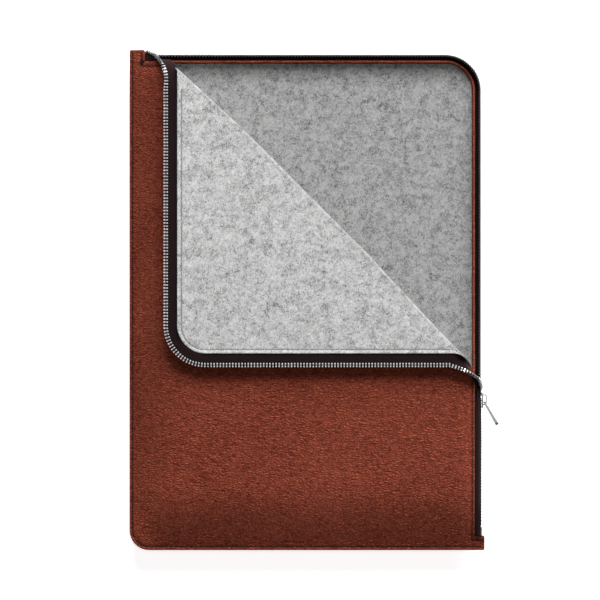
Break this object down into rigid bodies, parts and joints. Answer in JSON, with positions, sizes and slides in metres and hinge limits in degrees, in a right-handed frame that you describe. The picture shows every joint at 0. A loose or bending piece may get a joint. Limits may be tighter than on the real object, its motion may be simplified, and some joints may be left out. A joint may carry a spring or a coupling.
{
  "type": "laptop sleeve",
  "caption": "Portrait leather laptop sleeve lined with felt, zipped along one side and the top, with the front corner folded open.",
  "frame": {"origin": "middle of the flat back face that the sleeve lies on", "axes": "+Z out of the front, +Y up the sleeve towards the zipped top edge, +X towards the zipped side"},
  "size_m": [0.2433, 0.33, 0.0309],
  "materials": {
    "leather": "fine-grained chestnut brown",
    "rim_leather": "lighter cut edge of the same leather",
    "felt": "mottled light grey wool felt",
    "zip_tape": "dark brown woven tape",
    "zip_metal": "bright nickel",
    "thread": "dark brown waxed thread"
  },
  "bodies": {
    "sleeve": {"back_leather_panel": "leather", "back_felt_lining": "felt", "back_leather_rim": "rim_leather", "front_leather_panel": "leather", "front_felt_lining": "felt", "zip_tape_back": "zip_tape", "zip_tape_front": "zip_tape", "zip_teeth_back": "zip_metal", "zip_teeth_front": "zip_metal", "zip_bottom_stop": "zip_metal", "zip_top_stop_back": "zip_metal", "zip_top_stop_front": "zip_metal", "zip_tape_turn_right": "zip_tape", "zip_tape_turn_left": "zip_tape", "zip_teeth_turn_right": "zip_metal", "zip_teeth_turn_left": "zip_metal", "crease_leather": "leather", "crease_felt": "felt", "seam_thread_front": "thread", "seam_thread_back": "thread", "zip_thread_front_right": "thread", "zip_thread_front_top": "thread", "zip_thread_back": "thread"},
    "flap": {"flap_leather_panel": "leather", "flap_felt_lining": "felt", "zip_tape_flap": "zip_tape", "zip_teeth_flap": "zip_metal", "flap_thread_leather_side": "thread", "flap_thread_felt_side": "thread"},
    "slider": {"slider_body": "zip_metal"},
    "pull": {"pull_tab": "zip_metal"}
  },
  "joints": [
    {"name": "flap_fold", "type": "hinge", "parent": "sleeve", "child": "flap", "pos_m": [0.03515, 0.03515, 0.024], "axis": [-0.7071, 0.7071, 0], "range_deg": [0, 180], "deforming": ["crease_leather", "crease_felt", "zip_tape_turn_right", "zip_tape_turn_left", "zip_teeth_turn_right", "zip_teeth_turn_left"]},
    {"name": "slider_travel", "type": "slide", "parent": "sleeve", "child": "slider", "axis": [0, 1, 0], "range_m": [-0.078, 0], "deforming": ["zip_teeth_front", "zip_teeth_back"]},
    {"name": "pull_swing", "type": "hinge", "parent": "slider", "child": "pull", "pos_m": [0.117, -0.0674, 0.0114], "axis": [0, 0, 1], "range_deg": [-22, 140]}
  ]
}
